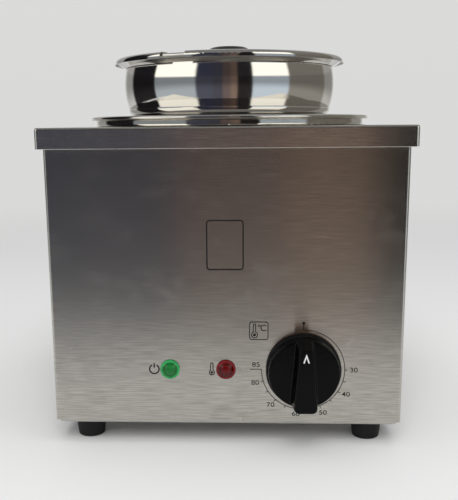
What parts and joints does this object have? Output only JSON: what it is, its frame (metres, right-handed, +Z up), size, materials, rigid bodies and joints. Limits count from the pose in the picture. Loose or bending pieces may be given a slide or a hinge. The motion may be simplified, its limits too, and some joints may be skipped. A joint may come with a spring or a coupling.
{
  "type": "bain marie",
  "caption": "Counter-top heated water bath with one round lidded pot hung in a ring, a thermostat knob and two pilot lamps on the front panel.",
  "frame": {"origin": "on the table, under the middle of the square housing", "axes": "+Z up, +Y to the back (the mains inlet's side), +X to the right of somebody facing the control panel"},
  "size_m": [0.24, 0.282, 0.2705],
  "materials": {
    "brushed_steel": "brushed along the length",
    "plain_steel": "mill",
    "zinc_steel": "zinc plated",
    "black_rubber": "moulded",
    "polished_steel": "polished stainless steel",
    "aluminium": "rolled",
    "insulation": "mineral wool",
    "lid_knob": "moulded, satin",
    "black_knob": "moulded, satin gloss",
    "white_mark": "printed",
    "cream_plastic": "moulded",
    "brass": "turned",
    "copper": "drawn",
    "dark_plastic": "moulded",
    "green_lens": "clear tinted plastic",
    "red_lens": "clear tinted plastic",
    "neon_glass": "clear",
    "lead_brown": "sleeved",
    "lead_blue": "sleeved",
    "lead_white": "sleeved",
    "lead_earth": "sleeved"
  },
  "bodies": {
    "housing": {"housing_shell": "brushed_steel", "rear_panel": "brushed_steel", "base_plate": "plain_steel", "top_cover": "brushed_steel", "cover_brackets": "plain_steel", "rear_panel_screws": "zinc_steel", "base_screws": "zinc_steel", "feet": "black_rubber", "foot_screws": "zinc_steel", "foot_nuts": "zinc_steel", "water_well": "polished_steel", "heat_spreader": "aluminium", "heating_element": "plain_steel", "element_clamp": "plain_steel", "heat_shield": "plain_steel", "well_studs": "zinc_steel", "clamp_nuts": "zinc_steel", "shield_spacers": "zinc_steel", "shield_nuts": "zinc_steel", "element_pins": "zinc_steel", "well_jacket": "insulation", "thermostat_bracket": "plain_steel", "thermostat_body": "cream_plastic", "thermostat_screws": "zinc_steel", "thermostat_tabs": "brass", "sensor_bulb": "copper", "bulb_clips": "plain_steel", "capillary_tube": "copper", "thermal_cut_out": "dark_plastic", "cut_out_screws": "zinc_steel", "cut_out_tabs": "brass", "green_lens": "green_lens", "red_lens": "red_lens", "lamp_holders": "dark_plastic", "neon_bulbs": "neon_glass", "lamp_nuts": "zinc_steel", "lamp_tabs": "brass", "gland_body": "dark_plastic", "gland_locknut": "dark_plastic", "gland_seal": "black_rubber", "gland_dome_nut": "dark_plastic", "terminal_block": "cream_plastic", "terminal_screws": "zinc_steel", "earth_stud": "zinc_steel", "earth_lug": "brass", "earth_nuts": "zinc_steel", "live_leads": "lead_brown", "neutral_lead": "lead_blue", "lamp_leads": "lead_white", "earth_lead": "lead_earth"},
    "ring": {"support_ring": "polished_steel"},
    "pot": {"pot": "polished_steel"},
    "lid": {"lid": "polished_steel", "lid_knob": "lid_knob", "lid_knob_screw": "zinc_steel", "lid_knob_washer": "zinc_steel"},
    "knob": {"control_knob": "black_knob", "knob_pointer": "white_mark", "knob_spring_ring": "zinc_steel", "thermostat_shaft": "zinc_steel"}
  },
  "joints": [
    {"name": "ring_lift", "type": "slide", "parent": "housing", "child": "ring", "axis": [0, 0, 1], "range_m": [0, 0.13]},
    {"name": "pot_lift", "type": "slide", "parent": "ring", "child": "pot", "axis": [0, 0, 1], "range_m": [0, 0.13]},
    {"name": "lid_lift", "type": "slide", "parent": "pot", "child": "lid", "axis": [0, 0, 1], "range_m": [0, 0.1]},
    {"name": "knob_turn", "type": "hinge", "parent": "housing", "child": "knob", "pos_m": [0.0509, -0.116, 0.0534], "axis": [0, 1, 0], "range_deg": [0, 270]}
  ]
}
